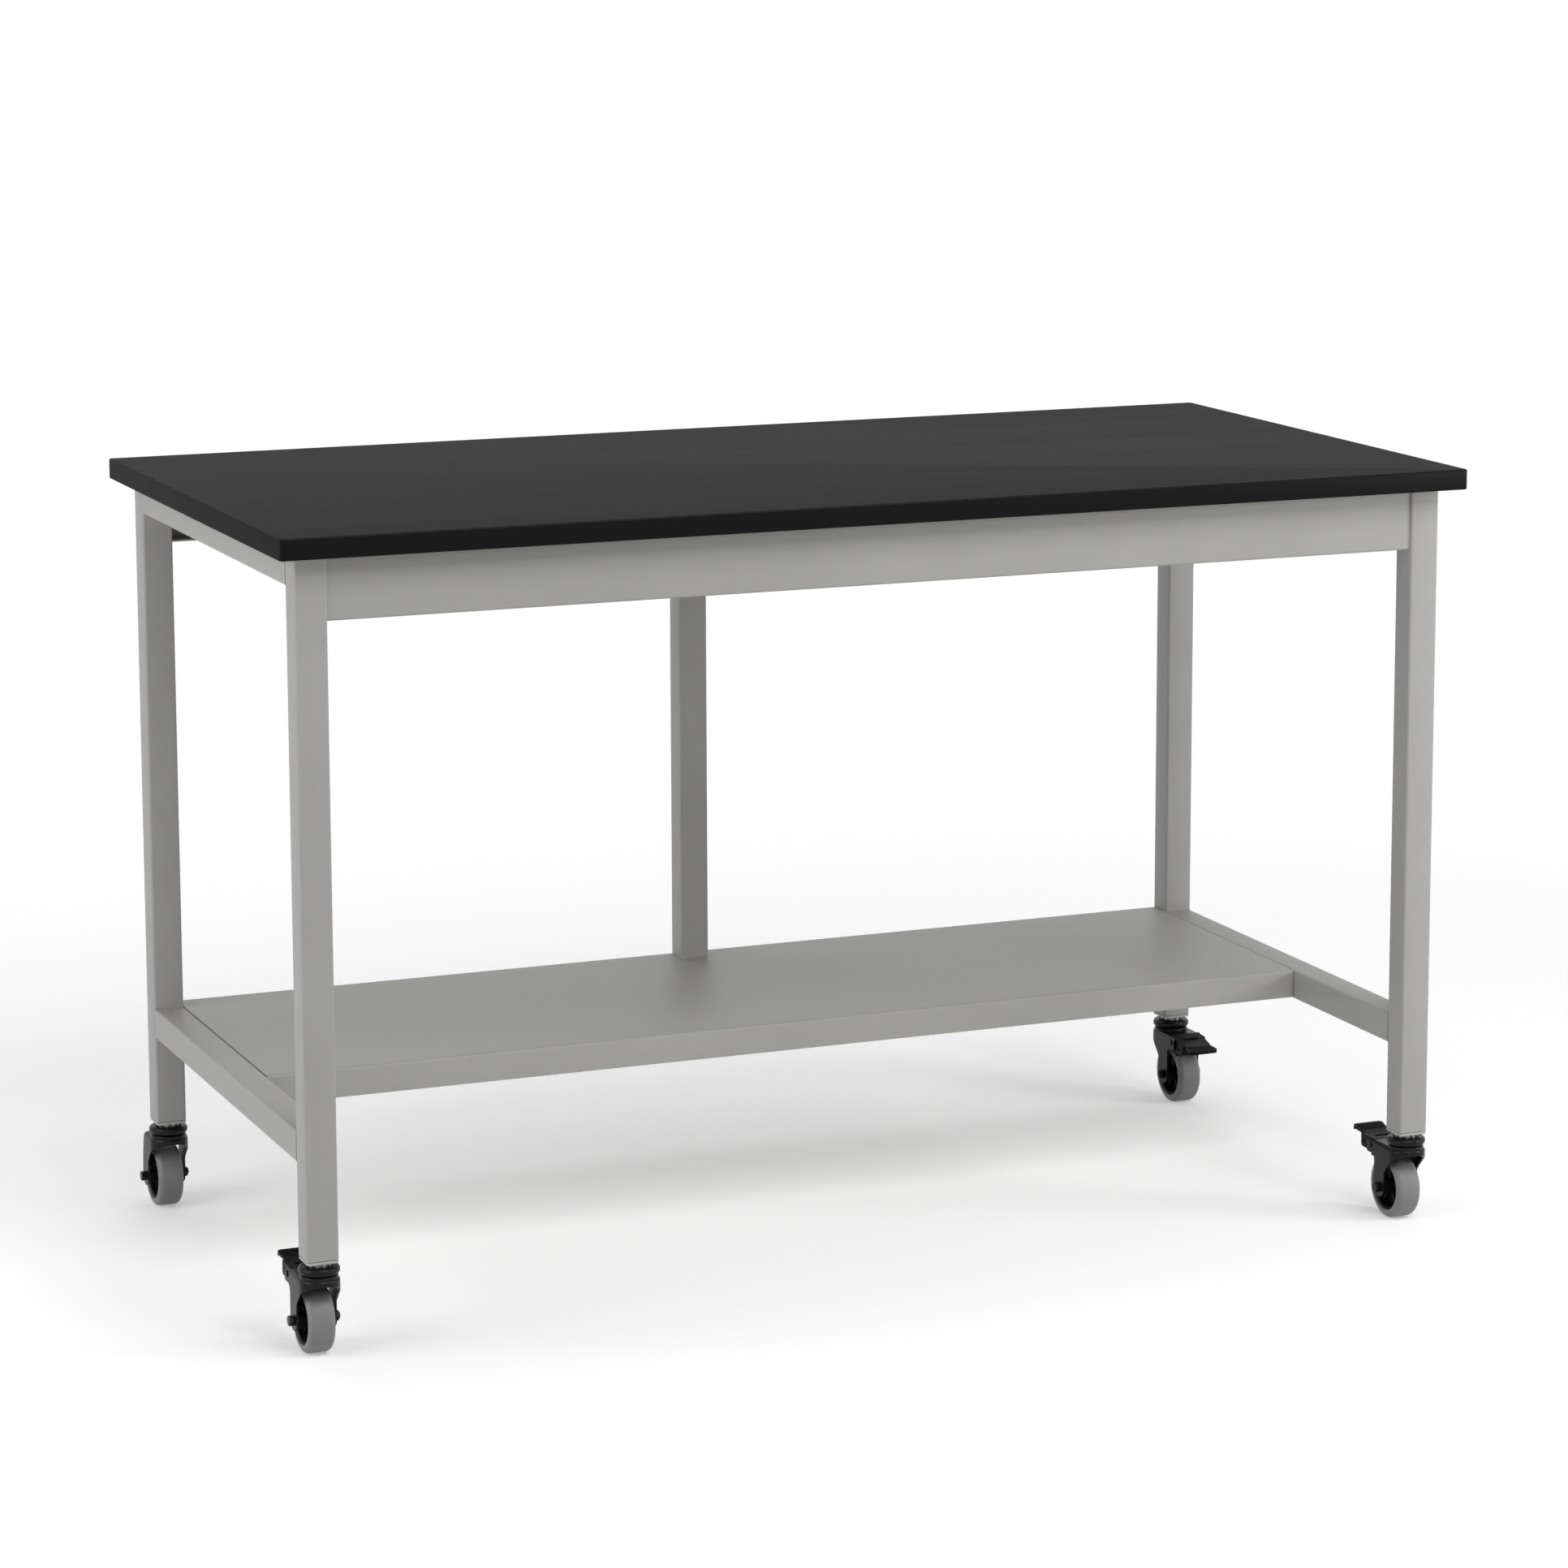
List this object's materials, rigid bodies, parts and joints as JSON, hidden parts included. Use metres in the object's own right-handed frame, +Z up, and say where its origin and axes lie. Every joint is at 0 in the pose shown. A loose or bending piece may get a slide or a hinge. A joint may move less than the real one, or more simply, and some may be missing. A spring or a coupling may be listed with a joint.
{
  "type": "mobile laboratory bench",
  "caption": "Mobile laboratory bench: a dark slab worktop on a square-tube frame with a half-depth lower shelf, rolling on swivel casters with brake pedals.",
  "frame": {"origin": "on the floor under the centre of the worktop", "axes": "+X along the bench to the right seen from the front, +Y to the back, +Z up"},
  "size_m": [1.524, 0.78, 0.9698],
  "materials": {
    "worktop_resin": "satin",
    "powder_coat": "satin",
    "cap_plastic": "satin",
    "zinc_steel": "satin",
    "black_steel": "satin",
    "black_plastic": "satin",
    "hub_plastic": "satin",
    "tread_rubber": "matte"
  },
  "bodies": {
    "frame": {"worktop": "worktop_resin", "upper_end_rail_left": "powder_coat", "lower_end_rail_left": "powder_coat", "upper_end_rail_right": "powder_coat", "lower_end_rail_right": "powder_coat", "front_apron": "powder_coat", "rear_apron": "powder_coat", "shelf_pan": "powder_coat", "shelf_stiffener": "powder_coat", "centre_post": "powder_coat", "leg_front_left": "powder_coat", "leg_cap_front_left": "cap_plastic", "stem_front_left": "zinc_steel", "lock_washer_front_left": "zinc_steel", "upper_race_front_left": "black_steel", "leg_front_right": "powder_coat", "leg_cap_front_right": "cap_plastic", "stem_front_right": "zinc_steel", "lock_washer_front_right": "zinc_steel", "upper_race_front_right": "black_steel", "leg_back_left": "powder_coat", "leg_cap_back_left": "cap_plastic", "stem_back_left": "zinc_steel", "lock_washer_back_left": "zinc_steel", "upper_race_back_left": "black_steel", "leg_back_right": "powder_coat", "leg_cap_back_right": "cap_plastic", "stem_back_right": "zinc_steel", "lock_washer_back_right": "zinc_steel", "upper_race_back_right": "black_steel"},
    "caster_front_left": {"fork_front_left": "black_steel", "axle_bolt_front_left": "black_steel", "axle_nut_front_left": "black_steel", "axle_bush_front_left": "zinc_steel", "pedal_pin_front_left": "black_steel"},
    "wheel_front_left": {"wheel_hub_front_left": "hub_plastic", "tread_front_left": "tread_rubber"},
    "pedal_front_left": {"brake_pedal_front_left": "black_plastic"},
    "caster_front_right": {"fork_front_right": "black_steel", "axle_bolt_front_right": "black_steel", "axle_nut_front_right": "black_steel", "axle_bush_front_right": "zinc_steel", "pedal_pin_front_right": "black_steel"},
    "wheel_front_right": {"wheel_hub_front_right": "hub_plastic", "tread_front_right": "tread_rubber"},
    "pedal_front_right": {"brake_pedal_front_right": "black_plastic"},
    "caster_back_left": {"fork_back_left": "black_steel", "axle_bolt_back_left": "black_steel", "axle_nut_back_left": "black_steel", "axle_bush_back_left": "zinc_steel"},
    "wheel_back_left": {"wheel_hub_back_left": "hub_plastic", "tread_back_left": "tread_rubber"},
    "caster_back_right": {"fork_back_right": "black_steel", "axle_bolt_back_right": "black_steel", "axle_nut_back_right": "black_steel", "axle_bush_back_right": "zinc_steel", "pedal_pin_back_right": "black_steel"},
    "wheel_back_right": {"wheel_hub_back_right": "hub_plastic", "tread_back_right": "tread_rubber"},
    "pedal_back_right": {"brake_pedal_back_right": "black_plastic"}
  },
  "joints": [
    {"name": "swivel_front_left", "type": "hinge", "parent": "frame", "child": "caster_front_left", "pos_m": [-0.71795, -0.33395, 0.098], "axis": [0, 0, 1], "continuous": true},
    {"name": "wheel_spin_front_left", "type": "hinge", "parent": "caster_front_left", "child": "wheel_front_left", "pos_m": [-0.71795, -0.30895, 0.04], "axis": [1, 0, 0], "continuous": true},
    {"name": "brake_front_left", "type": "hinge", "parent": "caster_front_left", "child": "pedal_front_left", "pos_m": [-0.71795, -0.28495, 0.09], "axis": [1, 0, 0], "range_deg": [-15, 0]},
    {"name": "swivel_front_right", "type": "hinge", "parent": "frame", "child": "caster_front_right", "pos_m": [0.71795, -0.33395, 0.098], "axis": [0, 0, 1], "continuous": true},
    {"name": "wheel_spin_front_right", "type": "hinge", "parent": "caster_front_right", "child": "wheel_front_right", "pos_m": [0.71795, -0.30895, 0.04], "axis": [1, 0, 0], "continuous": true},
    {"name": "brake_front_right", "type": "hinge", "parent": "caster_front_right", "child": "pedal_front_right", "pos_m": [0.71795, -0.28495, 0.09], "axis": [1, 0, 0], "range_deg": [-15, 0]},
    {"name": "swivel_back_left", "type": "hinge", "parent": "frame", "child": "caster_back_left", "pos_m": [-0.71795, 0.33395, 0.098], "axis": [0, 0, 1], "continuous": true},
    {"name": "wheel_spin_back_left", "type": "hinge", "parent": "caster_back_left", "child": "wheel_back_left", "pos_m": [-0.71795, 0.35895, 0.04], "axis": [1, 0, 0], "continuous": true},
    {"name": "swivel_back_right", "type": "hinge", "parent": "frame", "child": "caster_back_right", "pos_m": [0.71795, 0.33395, 0.098], "axis": [0, 0, 1], "continuous": true},
    {"name": "wheel_spin_back_right", "type": "hinge", "parent": "caster_back_right", "child": "wheel_back_right", "pos_m": [0.71795, 0.30895, 0.04], "axis": [1, 0, 0], "continuous": true},
    {"name": "brake_back_right", "type": "hinge", "parent": "caster_back_right", "child": "pedal_back_right", "pos_m": [0.71795, 0.28495, 0.09], "axis": [-1, 0, 0], "range_deg": [0, 15]}
  ]
}
